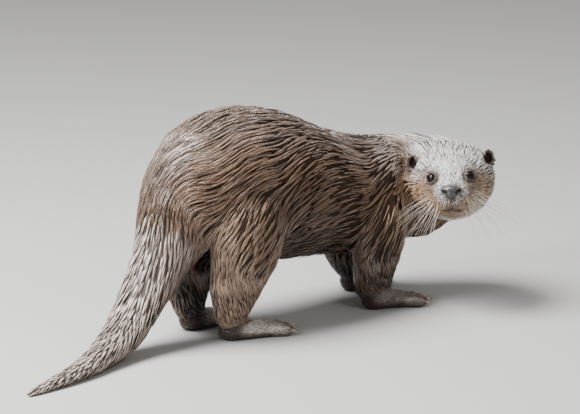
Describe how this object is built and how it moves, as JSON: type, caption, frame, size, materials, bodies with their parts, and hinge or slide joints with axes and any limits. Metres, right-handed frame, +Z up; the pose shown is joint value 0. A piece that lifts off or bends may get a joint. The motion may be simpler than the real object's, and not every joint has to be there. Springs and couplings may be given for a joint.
{
  "type": "eurasian otter",
  "caption": "Life-size still model of a Eurasian otter standing on all fours with an arched back, looking back over its right shoulder, tail resting on the ground.",
  "frame": {"origin": "on the ground under the middle of the otter's bounding box", "axes": "+X from the rump to the shoulders, +Y the otter's left, +Z up"},
  "size_m": [0.7408, 0.2628, 0.2822],
  "materials": {
    "coat": "wet brown fur in pointed locks, greyer on the back and brow, paler on cheeks and throat",
    "feet": "webbed feet with short grey-brown fur and small pale claws",
    "nose": "bare moist dark grey skin",
    "eye": "clear glossy near-black eye"
  },
  "bodies": {
    "root": {"head": "coat", "nose_pad": "nose", "eye_left": "eye", "eye_right": "eye", "ear_left": "coat", "ear_right": "coat", "neck": "coat", "trunk": "coat", "thigh_right": "coat", "shank_right": "coat", "hind_foot_right": "feet", "thigh_left": "coat", "shank_left": "coat", "hind_foot_left": "feet", "upper_arm_right": "coat", "forearm_right": "coat", "fore_foot_right": "feet", "upper_arm_left": "coat", "forearm_left": "coat", "fore_foot_left": "feet", "tail_base": "coat", "tail_middle": "coat", "tail_tip": "coat"}
  },
  "joints": []
}
